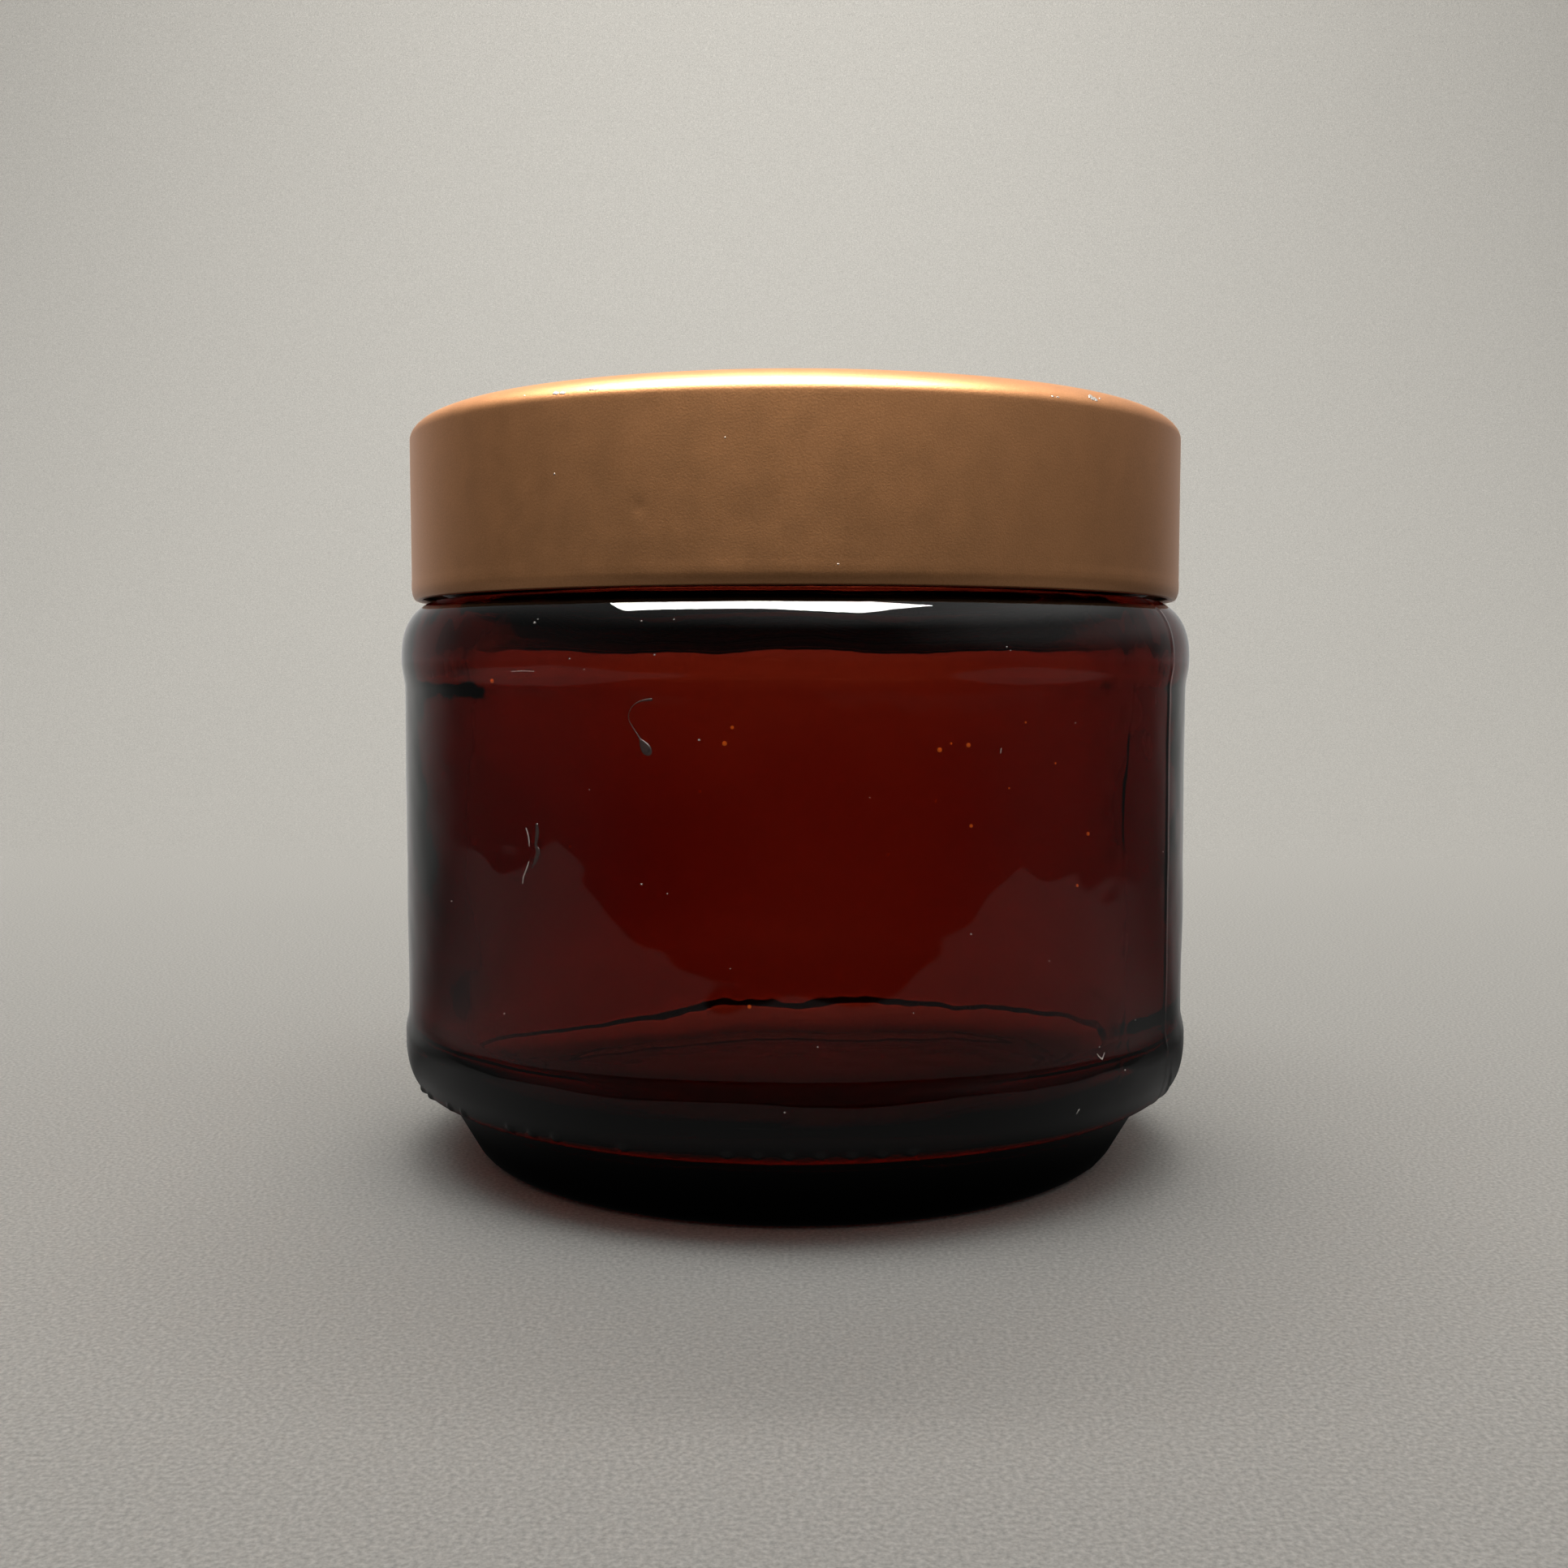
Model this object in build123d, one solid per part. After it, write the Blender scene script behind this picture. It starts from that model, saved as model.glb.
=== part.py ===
from build123d import *
import os
from math import cos, sin, tan, pi, radians

# Cream jar: thick-walled amber glass body with a screw neck, closed by a
# double-walled lid (metal overcap, threaded plastic inner cap, foam wad).
# Millimetres, +Z up, origin at the centre of the bearing ring under the foot.

# ---------------------------------------------------------------- dimensions
# glass body, outside
PANEL_R = 40.0            # straight label panel between the two beads
PANEL_Z0 = 15.05          # lower end of the panel
PANEL_Z1 = 47.30          # upper end of the panel
HEEL_R = 40.35            # heel bead, largest radius
HEEL_Z = 12.60            # height of the heel bead's largest radius
HEEL_A, HEEL_B, HEEL_E = 2.40, 5.10, 2.41     # heel corner: widths, fullness
BEAD_R = 40.31            # shoulder bead, largest radius
BEAD_Z = 49.92            # height of the shoulder bead's largest radius
BEAD_A, BEAD_B, BEAD_E = 5.72, 6.37, 2.47     # shoulder corner
SHOULDER_Z = 56.0         # flat on top of the shoulder, round the neck
LEDGE_Z = 7.50            # underside of the heel, where the foot steps in
RING_R1 = 31.2            # outer edge of the bearing ring
FOOT_ROUND = 2.6          # rounding from the bearing ring to the foot's side
FOOT_LEAN = 30.0          # degrees the foot's side leans out from upright
FOOT_FILLET = 0.8         # hollow fillet from the foot's side to the ledge
RING_R0 = 29.2            # inner edge of the bearing ring
PUSH_UP = 1.9             # height of the hollow under the base at its centre
# glass body, inside
WALL_R = 34.7             # inside of the wall
BULGE_R = 35.8            # inside of the shoulder, where the wall is thinnest
BULGE_Z = 50.2
FLOOR_Z = 5.2             # inside of the bottom
FLOOR_ROUND = 9.0         # inside corner between bottom and wall
# neck finish
BORE_R = 29.0
ROOT_R = 33.4             # neck outside, between the threads
RIM_Z = 70.9              # sealing rim
RIM_ROUND = 0.8
PITCH = 4.2               # one start, right hand
GLASS_CREST_R = 34.7
GLASS_THREAD_Z = 60.6     # centre of the glass thread where it begins
GLASS_TURNS = 1.5
# lid shell (overcap)
SHELL_R = 39.2
SHELL_T = 0.5
SHELL_TOP = 74.2
SHELL_BOTTOM = 56.0
SHELL_A, SHELL_B = 4.74, 2.40                 # rounded top edge
# inner cap
INSERT_R0 = 35.1          # bore of the threaded skirt
INSERT_R1 = 36.5          # outside of the threaded skirt
INSERT_BOTTOM = 56.7
PLATE_T = 1.5
CAP_CREST_R = 33.8        # crest of the inner cap's thread
CAP_TURNS = 1.25
FLANGE_R = 38.55          # spacer flange that the shell is rolled under
FLANGE_Z, FLANGE_T = 57.4, 1.0
RIBS, RIB_T = 16, 1.0
# wad
LINER_R = 34.8
LINER_T = 1.3

INNER_TOP = SHELL_TOP - SHELL_T               # underside of the shell's top
PLATE_Z0 = INNER_TOP - PLATE_T                # underside of the inner cap's top


def corner(rc, zc, a, b, e, t0, t1, n, top=True):
    """Points of a superelliptic corner; t in degrees from the side (0) to the end (90)."""
    out = []
    for i in range(n + 1):
        t = radians(t0 + (t1 - t0) * i / n)
        x = a * abs(cos(t)) ** (2 / e)
        z = b * abs(sin(t)) ** (2 / e)
        out.append((rc - a + x, zc + z if top else zc - z))
    return out


def rz(points):
    """(radius, height) pairs as points in the XZ plane."""
    return [(r, 0, z) for r, z in points]


# ---------------------------------------------------------------- glass jar
# Heel corner, from the underside of the heel out and up to the bead.
heel = corner(HEEL_R, HEEL_Z, HEEL_A, HEEL_B, HEEL_E, 90, 0, 12, top=False)
# Shoulder corner, from the bead up to the height of the shoulder flat.
shoulder = [p for p in corner(BEAD_R, BEAD_Z, BEAD_A, BEAD_B, BEAD_E, 0, 90, 40)
            if p[1] < SHOULDER_Z - 0.12]
shoulder = shoulder[::3] if (len(shoulder) - 1) % 3 == 0 else shoulder[::3] + [shoulder[-1]]
shoulder_end = (35.9, SHOULDER_Z)
# Side of the foot, from the bearing ring's rounding out and up to the ledge.
lean = radians(FOOT_LEAN)
foot_low = (RING_R1 + FOOT_ROUND * cos(lean), FOOT_ROUND * (1 - sin(lean)))
foot_high_z = LEDGE_Z - FOOT_FILLET * (1 - sin(lean))
foot_high = (foot_low[0] + (foot_high_z - foot_low[1]) * tan(lean), foot_high_z)
foot_ledge = (foot_high[0] + FOOT_FILLET * cos(lean), LEDGE_Z)

with BuildPart() as jar_body:
    with BuildSketch(Plane.XZ):
        with BuildLine():
            # bearing ring and foot
            l0 = Line((0, PUSH_UP), (4, PUSH_UP))
            l1 = Spline(l0 @ 1, (18, PUSH_UP * 0.8), (RING_R0 - 1.5, 0.38), (RING_R0, 0),
                        tangents=((1, 0), (1, -0.12)))
            l2 = Line(l1 @ 1, (RING_R1, 0))
            l3 = RadiusArc(l2 @ 1, foot_low, -FOOT_ROUND)
            l4 = Line(l3 @ 1, foot_high)
            l5 = RadiusArc(l4 @ 1, foot_ledge, FOOT_FILLET)
            l6 = Line(l5 @ 1, heel[0])
            # heel bead, panel, shoulder bead
            l7 = Spline(*heel, tangents=((1, 0), (0, 1)))
            l8 = Spline(l7 @ 1, (PANEL_R, PANEL_Z0), tangents=((0, 1), (0, 1)))
            l9 = Line(l8 @ 1, (PANEL_R, PANEL_Z1))
            l10 = Spline(l9 @ 1, (BEAD_R, BEAD_Z), tangents=((0, 1), (0, 1)))
            l11 = Spline(*shoulder, shoulder_end, tangents=((0, 1), (-1, 0)))
            # shoulder flat, neck, rim
            l12 = Line(l11 @ 1, (ROOT_R + 0.9, SHOULDER_Z))
            l13 = RadiusArc(l12 @ 1, (ROOT_R, SHOULDER_Z + 0.9), 0.9)
            l14 = Line(l13 @ 1, (ROOT_R, RIM_Z - RIM_ROUND))
            l15 = RadiusArc(l14 @ 1, (ROOT_R - RIM_ROUND, RIM_Z), -RIM_ROUND)
            l16 = Line(l15 @ 1, (BORE_R + RIM_ROUND, RIM_Z))
            l17 = RadiusArc(l16 @ 1, (BORE_R, RIM_Z - RIM_ROUND), -RIM_ROUND)
            # bore, inside of the shoulder, wall, bottom
            l18 = Line(l17 @ 1, (BORE_R, 59.0))
            l19 = Spline(l18 @ 1, (29.5, 57.0), (31.2, 55.2), (33.3, 53.7), (34.8, 52.7), (BULGE_R, BULGE_Z),
                         tangents=((0, -1), (0, -1)))
            l19b = Spline(l19 @ 1, (35.65, 48.0), (35.2, 46.0), (34.9, 42.0), (WALL_R, 35.0), tangents=((0, -1), (0, -1)))
            l20 = Line(l19b @ 1, (WALL_R, FLOOR_Z + FLOOR_ROUND))
            l21 = RadiusArc(l20 @ 1, (WALL_R - FLOOR_ROUND, FLOOR_Z), FLOOR_ROUND)
            l22 = Line(l21 @ 1, (0, FLOOR_Z))
            l23 = Line(l22 @ 1, l0 @ 0)
        make_face()
    revolve(axis=Axis.Z)


def ridge(radius, root, crest, z0, turns, base, tip):
    """Helical ridge of trapezoid section; root and crest are radii, base and tip full widths."""
    path = Helix(pitch=PITCH, height=PITCH * turns, radius=radius, center=(0, 0, z0))
    start = path @ 0
    plane = Plane(origin=start, x_dir=(1, 0, 0), z_dir=path % 0)
    # local x points outwards; local y points down along the section's width
    pts = [(root - radius, -base / 2), (root - radius, base / 2),
           (crest - radius, tip / 2), (crest - radius, -tip / 2)]
    section = plane * make_face(Polyline(*pts, close=True))
    return sweep(section, path=path, is_frenet=True)


glass_thread = ridge(ROOT_R, ROOT_R - 0.4, GLASS_CREST_R, GLASS_THREAD_Z, GLASS_TURNS, 2.5, 1.0)
glass_jar = jar_body.part + glass_thread
glass_jar.label = "glass_jar"

# ---------------------------------------------------------------- lid shell
with BuildPart() as shell:
    with BuildSketch(Plane.XZ):
        with BuildLine():
            s0 = Line((0, SHELL_TOP), (SHELL_R - SHELL_A, SHELL_TOP))
            s1 = EllipticalCenterArc((SHELL_R - SHELL_A, SHELL_TOP - SHELL_B), SHELL_A, SHELL_B,
                                     start_angle=0, arc_size=90)
            s2 = Line((SHELL_R, SHELL_TOP - SHELL_B), (SHELL_R, SHELL_BOTTOM + 1.4))
            # rolled-in bottom edge
            s3 = Spline(s2 @ 1, (SHELL_R - 0.42, SHELL_BOTTOM), tangents=((0, -1), (-1, -0.25)))
            s4 = Line(s3 @ 1, (SHELL_R - 1.05, SHELL_BOTTOM))
            s5 = Line(s4 @ 1, (SHELL_R - 1.05, SHELL_BOTTOM + 0.4))
            s6 = Spline(s5 @ 1, (SHELL_R - SHELL_T, SHELL_BOTTOM + 1.3), tangents=((1, 0.1), (0, 1)))
            s7 = Line(s6 @ 1, (SHELL_R - SHELL_T, SHELL_TOP - SHELL_B))
            s8 = EllipticalCenterArc((SHELL_R - SHELL_A, SHELL_TOP - SHELL_B),
                                     SHELL_A - SHELL_T, SHELL_B - SHELL_T,
                                     start_angle=0, arc_size=90)
            s9 = Line((SHELL_R - SHELL_A, INNER_TOP), (0, INNER_TOP))
            s10 = Line((0, INNER_TOP), (0, SHELL_TOP))
        make_face()
    revolve(axis=Axis.Z)
lid_shell = shell.part
lid_shell.label = "lid_shell"

# ---------------------------------------------------------------- inner cap
with BuildPart() as insert:
    with BuildSketch(Plane.XZ):
        with BuildLine():
            Polyline((0, INNER_TOP), (SHELL_R - SHELL_A - 0.3, INNER_TOP), (INSERT_R1, PLATE_Z0 + 0.35),
                     (INSERT_R1, FLANGE_Z + FLANGE_T), (FLANGE_R, FLANGE_Z + FLANGE_T),
                     (FLANGE_R, FLANGE_Z), (INSERT_R1, FLANGE_Z), (INSERT_R1, INSERT_BOTTOM + 0.2),
                     (INSERT_R1 - 0.2, INSERT_BOTTOM), (INSERT_R0 + 0.3, INSERT_BOTTOM),
                     (INSERT_R0, INSERT_BOTTOM + 0.3), (INSERT_R0, PLATE_Z0), (0, PLATE_Z0),
                     close=True)
        make_face()
    revolve(axis=Axis.Z)
    # spacer ribs between the skirt and the shell
    rib_h = PLATE_Z0 - 1.2 - (FLANGE_Z + FLANGE_T) + 0.2
    with Locations((0, 0, FLANGE_Z + FLANGE_T - 0.2)):
        with PolarLocations((INSERT_R1 - 0.3 + FLANGE_R) / 2, RIBS):
            Box(FLANGE_R - INSERT_R1 + 0.3, RIB_T, rib_h, align=(Align.CENTER, Align.CENTER, Align.MIN))

cap_thread = ridge(INSERT_R0, INSERT_R0 + 0.4, CAP_CREST_R, GLASS_THREAD_Z - PITCH / 2, CAP_TURNS, 1.9, 0.6)
lid_insert = insert.part + cap_thread
lid_insert.label = "lid_insert"

# ---------------------------------------------------------------- foam wad
with BuildPart() as liner:
    with Locations((0, 0, RIM_Z)):
        Cylinder(LINER_R, LINER_T, align=(Align.CENTER, Align.CENTER, Align.MIN))
lid_liner = liner.part
lid_liner.label = "lid_liner"

# ---------------------------------------------------------------- export
os.makedirs("parts", exist_ok=True)
for node, solid in (("glass_jar", glass_jar), ("lid_shell", lid_shell),
                    ("lid_insert", lid_insert), ("lid_liner", lid_liner)):
    export_step(solid, f"parts/{node}.step")
    box = solid.bounding_box()
    print(node, "solids", len(solid.solids()), "valid", solid.is_valid,
          "volume mm3", round(solid.volume, 1), "z", round(box.min.Z, 2), round(box.max.Z, 2))
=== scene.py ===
import bpy
import math
import numpy as np
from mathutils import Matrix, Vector


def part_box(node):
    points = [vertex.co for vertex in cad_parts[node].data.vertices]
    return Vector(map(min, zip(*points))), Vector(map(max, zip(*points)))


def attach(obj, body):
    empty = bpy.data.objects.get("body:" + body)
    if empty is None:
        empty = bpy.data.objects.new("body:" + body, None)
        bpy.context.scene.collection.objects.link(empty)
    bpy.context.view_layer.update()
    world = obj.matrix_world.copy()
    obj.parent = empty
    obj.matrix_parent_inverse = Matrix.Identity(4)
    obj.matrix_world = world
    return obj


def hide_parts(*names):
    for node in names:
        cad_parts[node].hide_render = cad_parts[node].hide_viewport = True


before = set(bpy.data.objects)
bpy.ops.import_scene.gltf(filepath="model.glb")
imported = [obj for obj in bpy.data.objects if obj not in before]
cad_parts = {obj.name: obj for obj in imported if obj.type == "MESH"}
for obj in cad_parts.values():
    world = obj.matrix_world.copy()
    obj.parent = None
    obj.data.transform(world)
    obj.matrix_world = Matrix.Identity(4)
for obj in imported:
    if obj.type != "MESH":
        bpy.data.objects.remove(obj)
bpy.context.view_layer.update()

MM = 0.001
scene = bpy.context.scene

# ------------------------------------------------------------------ sizes from the frame
jar_lo, jar_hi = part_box("glass_jar")
shell_lo, shell_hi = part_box("lid_shell")
ins_lo, ins_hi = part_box("lid_insert")
lin_lo, lin_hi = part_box("lid_liner")

BODY_R = 40.35                      # largest radius of the glass, as in the CAD (mm)
K = jar_hi[0] / (BODY_R * MM)       # 1.0 when the CAD has that size
RIM_Z = jar_hi[2] / MM
LID_R = 39.2
LID_TOP = shell_hi[2] / MM
LID_BOTTOM = shell_lo[2] / MM


# ------------------------------------------------------------------ camera
cam_data = bpy.data.cameras.new("camera")
cam = bpy.data.objects.new("camera", cam_data)
scene.collection.objects.link(cam)
cam_data.sensor_width = 36.0
cam_data.lens = 36.0 * 2093.0 / 1932.0
cam_data.clip_start = 0.01
cam_data.clip_end = 20.0
cam.location = (-1.121 * MM, -178.86 * MM, 48.876 * MM)
cam.rotation_euler = (math.radians(90.0 - 3.7608), 0.0, 0.0)
scene.camera = cam


# ------------------------------------------------------------------ smooth seeded noise
class Waves:
    """A smooth random field in millimetres: a sum of plane waves about one size."""

    def __init__(self, seed, size, spread=0.5, n=28):
        rng = np.random.default_rng(seed)
        size = np.array(size if hasattr(size, "__len__") else (size, size, size), float)
        d = rng.normal(size=(n, 3))
        d /= np.linalg.norm(d, axis=1)[:, None]
        k = 2 * math.pi * (1 + spread * (rng.random(n) * 2 - 1))[:, None] / size[None, :]
        self.k = d * k
        self.p = rng.random(n) * 2 * math.pi
        self.a = math.sqrt(2.0 / n)

    def __call__(self, p):
        out = np.zeros(p.shape[:-1])
        for k, ph in zip(self.k, self.p):
            out += np.cos(p @ k + ph)
        return out * self.a


def smooth(x, a, b):
    t = np.clip((x - a) / (b - a), 0.0, 1.0)
    return t * t * (3 - 2 * t)


def bump(x, w):
    """A rounded bump of half width w at 0."""
    t = np.clip(1 - (x / w) ** 2, 0.0, 1.0)
    return t * t


def wrap(a):
    return (a + math.pi) % (2 * math.pi) - math.pi


# ------------------------------------------------------------------ profiles
class Path:
    """A profile in (radius, height) millimetres, sampled span by span; each point keeps its span's tag."""

    def __init__(self, start, tag):
        self.pts = [start]
        self.tags = [tag]

    def _add(self, pts, tag):
        for q in pts:
            self.pts.append((float(q[0]), float(q[1])))
            self.tags.append(tag)

    def line(self, end, step, tag):
        a = self.pts[-1]
        n = max(1, int(round(math.dist(a, end) / step)))
        self._add([(a[0] + (end[0] - a[0]) * i / n, a[1] + (end[1] - a[1]) * i / n) for i in range(1, n + 1)], tag)

    def arc(self, centre, a0, a1, step, tag, rx=1.0, rz=None):
        """An arc about centre from a0 to a1 degrees with radii rx, rz."""
        rz = rx if rz is None else rz
        n = max(3, int(round(abs(math.radians(a1 - a0)) * (rx + rz) / 2 / step)))
        self._add([(centre[0] + rx * math.cos(math.radians(a0 + (a1 - a0) * i / n)),
                    centre[1] + rz * math.sin(math.radians(a0 + (a1 - a0) * i / n))) for i in range(1, n + 1)], tag)

    def corner(self, rc, zc, a, b, e, t0, t1, n, tag, top=True):
        """A superelliptic corner; t in degrees from the side (0) to the end (90)."""
        pts = []
        for i in range(1, n + 1):
            t = math.radians(t0 + (t1 - t0) * i / n)
            x = a * abs(math.cos(t)) ** (2 / e)
            z = b * abs(math.sin(t)) ** (2 / e)
            pts.append((rc - a + x, zc + z if top else zc - z))
        self._add(pts, tag)

    def curve(self, ctrl, n, tag):
        """A Catmull-Rom run from the last point through ctrl; n samples each span."""
        p = [self.pts[-1]] + list(ctrl)
        p = [(2 * p[0][0] - p[1][0], 2 * p[0][1] - p[1][1])] + p + [(2 * p[-1][0] - p[-2][0], 2 * p[-1][1] - p[-2][1])]
        out = []
        for j in range(1, len(p) - 2):
            p0, p1, p2, p3 = (np.array(p[j + d]) for d in (-1, 0, 1, 2))
            for i in range(1, n + 1):
                t = i / n
                out.append(0.5 * (2 * p1 + (p2 - p0) * t + (2 * p0 - 5 * p1 + 4 * p2 - p3) * t * t
                                  + (3 * p1 - p0 - 3 * p2 + p3) * t ** 3))
        self._add(out, tag)

    def blend(self, end, n, tag):
        """A run that leaves and arrives upright, easing its radius from one end to the other."""
        a = self.pts[-1]
        ts = [i / n for i in range(1, n + 1)]
        self._add([(a[0] + (end[0] - a[0]) * t * t * (3 - 2 * t), a[1] + (end[1] - a[1]) * t) for t in ts], tag)

    def array(self):
        pts = np.array(self.pts)
        keep = np.r_[True, np.linalg.norm(np.diff(pts, axis=0), axis=1) > 1e-5]
        return pts[keep], np.array(self.tags)[keep]


def normals2(pts, closed=False):
    """Outward normals of a profile that runs up the outside and down the inside."""
    if closed:
        t = np.roll(pts, -1, axis=0) - np.roll(pts, 1, axis=0)
    else:
        t = np.gradient(pts, axis=0)
    t /= np.maximum(np.linalg.norm(t, axis=1), 1e-9)[:, None]
    return np.c_[t[:, 1], -t[:, 0]]


def revolved(name, pts, az, offset=None, closed=False):
    """A body of revolution from a profile. offset(i, az) -> (along the profile normal) in mm."""
    m, n = len(pts), len(az)
    nor = normals2(pts, closed)
    r = np.repeat(pts[:, 0][:, None], n, axis=1)
    z = np.repeat(pts[:, 1][:, None], n, axis=1)
    if offset is not None:
        d = offset
        r = r + d * nor[:, 0][:, None]
        z = z + d * nor[:, 1][:, None]
    r = np.maximum(r, 0.0)
    x = r * np.cos(az)[None, :]
    y = r * np.sin(az)[None, :]
    co = np.stack([x, y, z], axis=-1).reshape(-1, 3) * MM * K
    verts = [tuple(c) for c in co]
    faces = []
    index = np.arange(m * n).reshape(m, n)
    first, last = 0, m
    if not closed and pts[0, 0] < 1e-6:
        first = 1
    if not closed and pts[-1, 0] < 1e-6:
        last = m - 1
    rows = range(first, last - 1) if not closed else range(m)
    for i in rows:
        a = index[i]
        b = index[(i + 1) % m]
        a2 = np.roll(a, -1)
        b2 = np.roll(b, -1)
        faces.extend(zip(a.tolist(), a2.tolist(), b2.tolist(), b.tolist()))
    if first == 1:
        c = index[0, 0]
        a = index[1]
        faces.extend((int(c), int(p), int(q)) for p, q in zip(np.roll(a, -1), a))
    if last == m - 1:
        c = index[m - 1, 0]
        a = index[m - 2]
        faces.extend((int(c), int(p), int(q)) for p, q in zip(a, np.roll(a, -1)))
    me = bpy.data.meshes.new(name)
    used = np.zeros(m * n, bool)
    flat = np.fromiter((v for f in faces for v in f), int)
    used[flat] = True
    remap = np.cumsum(used) - 1
    me.from_pydata(co[used].tolist(), [], [tuple(int(remap[v]) for v in f) for f in faces])
    me.validate()
    me.polygons.foreach_set("use_smooth", np.ones(len(me.polygons), bool))
    me.update()
    ob = bpy.data.objects.new(name, me)
    scene.collection.objects.link(ob)
    return ob


def grid3(pts, az):
    """Positions of the undisplaced grid in mm, for noise."""
    r, z = pts[:, 0][:, None], pts[:, 1][:, None]
    return np.stack([r * np.cos(az)[None, :], r * np.sin(az)[None, :], z + 0 * az[None, :]], axis=-1)


def front(deg):
    """Azimuth in radians from degrees right of the front (-Y)."""
    return math.radians(deg - 90.0)


# ------------------------------------------------------------------ thread shared by neck and cap
PITCH = 4.2
THREAD_Z = 60.6            # middle of the glass thread where it begins, at azimuth 0 (+X)


def thread(az, z, z0, turns, base, tip, height, fade=0.06):
    """Height of a helical ridge at azimuth az (0 to 2 pi) and height z."""
    out = np.zeros(np.broadcast(az, z).shape)
    a = az % (2 * math.pi)
    for k in range(-1, 3):
        t = a / (2 * math.pi) + k                 # turns along the helix
        zc = z0 + PITCH * t
        d = np.abs(z - zc)
        prof = np.clip((base / 2 - d) / (base / 2 - tip / 2), 0, 1)
        prof = prof * prof * (3 - 2 * prof)
        ends = smooth(t, -0.005, fade) * (1 - smooth(t, turns - fade, turns + 0.005))
        out = np.maximum(out, prof * ends * height)
    return out


# ------------------------------------------------------------------ glass jar
jar = Path((0.0, 1.9), "base")
jar.line((4.0, 1.9), 2.0, "base")
jar.curve([(18, 1.52), (27.6, 0.42), (29.2, 0.03)], 10, "base")
jar.line((31.2, 0.0), 0.3, "ring")
jar.arc((31.2, 2.6), -90, -30, 0.25, "foot", 2.6)
jar.line((36.80, 7.1), 0.45, "foot")
jar.arc((37.493, 6.7), 150, 90, 0.2, "foot", 0.8)
jar.line((37.95, 7.5), 0.4, "heel")
jar.corner(40.35, 12.60, 2.40, 5.10, 2.41, 90, 0, 40, "heel", top=False)
jar.blend((40.0, 15.05), 12, "panel")
jar.line((40.0, 47.3), 0.62, "panel")
jar.blend((40.31, 49.92), 12, "shoulder")
keep = Path((40.31, 49.92), "shoulder")
keep.corner(40.31, 49.92, 5.72, 6.37, 2.47, 0, 72, 40, "shoulder")
top = [q for q in keep.pts[1:] if q[1] < 55.80]
jar._add(top, "shoulder")
jar.curve([(36.9, 55.93), (35.9, 56.0)], 6, "shoulder")
jar.line((34.3, 56.0), 0.35, "shoulder")
jar.arc((34.3, 56.9), -90, -180, 0.25, "neck", 0.9)
jar.line((33.4, RIM_Z - 0.8), 0.24, "neck")
jar.arc((32.6, RIM_Z - 0.8), 0, 90, 0.2, "rim", 0.8)
jar.line((29.8, RIM_Z), 0.4, "rim")
jar.arc((29.8, RIM_Z - 0.8), 90, 180, 0.2, "rim", 0.8)
jar.line((29.0, 59.0), 0.5, "bore")
jar.curve([(29.5, 57.0), (31.2, 55.2), (33.3, 53.7), (34.8, 52.8), (35.8, 51.0), (35.8, 49.0), (35.2, 46.0),
           (34.9, 42.0), (34.7, 35.0)], 10, "in_shoulder")
jar.line((34.7, 14.2), 0.62, "wall")
jar.arc((25.7, 14.2), 0, -90, 0.35, "floor", 9.0)
jar.line((4.0, 5.2), 0.9, "floor")
jar.line((0.0, 5.2), 2.0, "floor")
pts, tags = jar.array()

# finer where the heel's mould dots and the front's marks are
az = np.concatenate([np.arange(-172.0, 4.0, 0.40), np.arange(4.0, 188.0, 0.8)])
az = np.radians(az)
P3 = grid3(pts, az)
A = az[None, :]
Z = P3[..., 2]
R = pts[:, 0][:, None] + 0 * A


def tagw(*names):
    return np.isin(tags, names).astype(float)[:, None]


off = np.zeros((len(pts), len(az)))
# outside: pressed glass is slightly uneven
w_out = tagw("panel") * 1.0 + tagw("heel", "shoulder") * 0.6 + tagw("foot") * 0.3
off += w_out * 0.022 * Waves(11, (16, 16, 11))(P3)
off += w_out * 0.006 * Waves(12, (5, 5, 4))(P3)
# inside: the plunger's side, uneven in broad ripples that fade out towards the bottom and the neck
inside = tagw("wall", "in_shoulder", "floor")
fade_low = 0.05 + 0.95 * smooth(Z, 19.0, 36.0)
fade_neck = smooth(58.5 - Z, 0.0, 5.0)
mid = smooth(R, 3.0, 12.0)
body = tagw("wall") + tagw("in_shoulder") * smooth(-Z, -53.5, -50.2)
left = np.sin(A - front(-90.0) + math.pi / 2)              # 1 at the left, -1 at the right
off += body * (0.10 + 1.0 * smooth(left, -0.1, 0.95) * smooth(-Z, -45.0, -18.0) + 0.10 * left) * smooth(Z, 13.0, 22.0) * fade_neck
off += inside * 0.085 * Waves(21, (19, 19, 14))(P3) * fade_low * fade_neck * mid
off += inside * 0.014 * Waves(22, (6.0, 6.0, 4.5))(P3) * fade_low * fade_neck * mid
off += inside * 0.0022 * Waves(23, 1.8)(P3) * fade_neck * smooth(Z, 14.0, 20.0)
off += tagw("wall", "in_shoulder") * 0.26 * bump(Z - 29.0, 13.0)
# more ripple where the wall turns in under the shoulder, and at the foot of the wall
off += inside * 0.045 * Waves(24, (15, 15, 9))(P3) * bump(Z - 49.5, 7.0)
off += inside * 0.010 * Waves(25, (16, 16, 16))(P3) * bump(Z - 9.5, 5.0) * smooth(R, 20.0, 30.0)
# the bottom is a little thinner behind than in front
FB = P3[..., 1] / 30.0
low = tagw("floor") + tagw("wall") * smooth(-Z, -22.0, -11.5)
off += low * np.where(FB > 0, -0.6 * FB, -1.1 * FB) * smooth(-Z, -22.0, -9.0)
off += tagw("base") * 0.05 * Waves(26, 9)(P3) * smooth(R, 0.0, 5.0) * smooth(29.0 - R, 0.0, 3.0)
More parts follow.
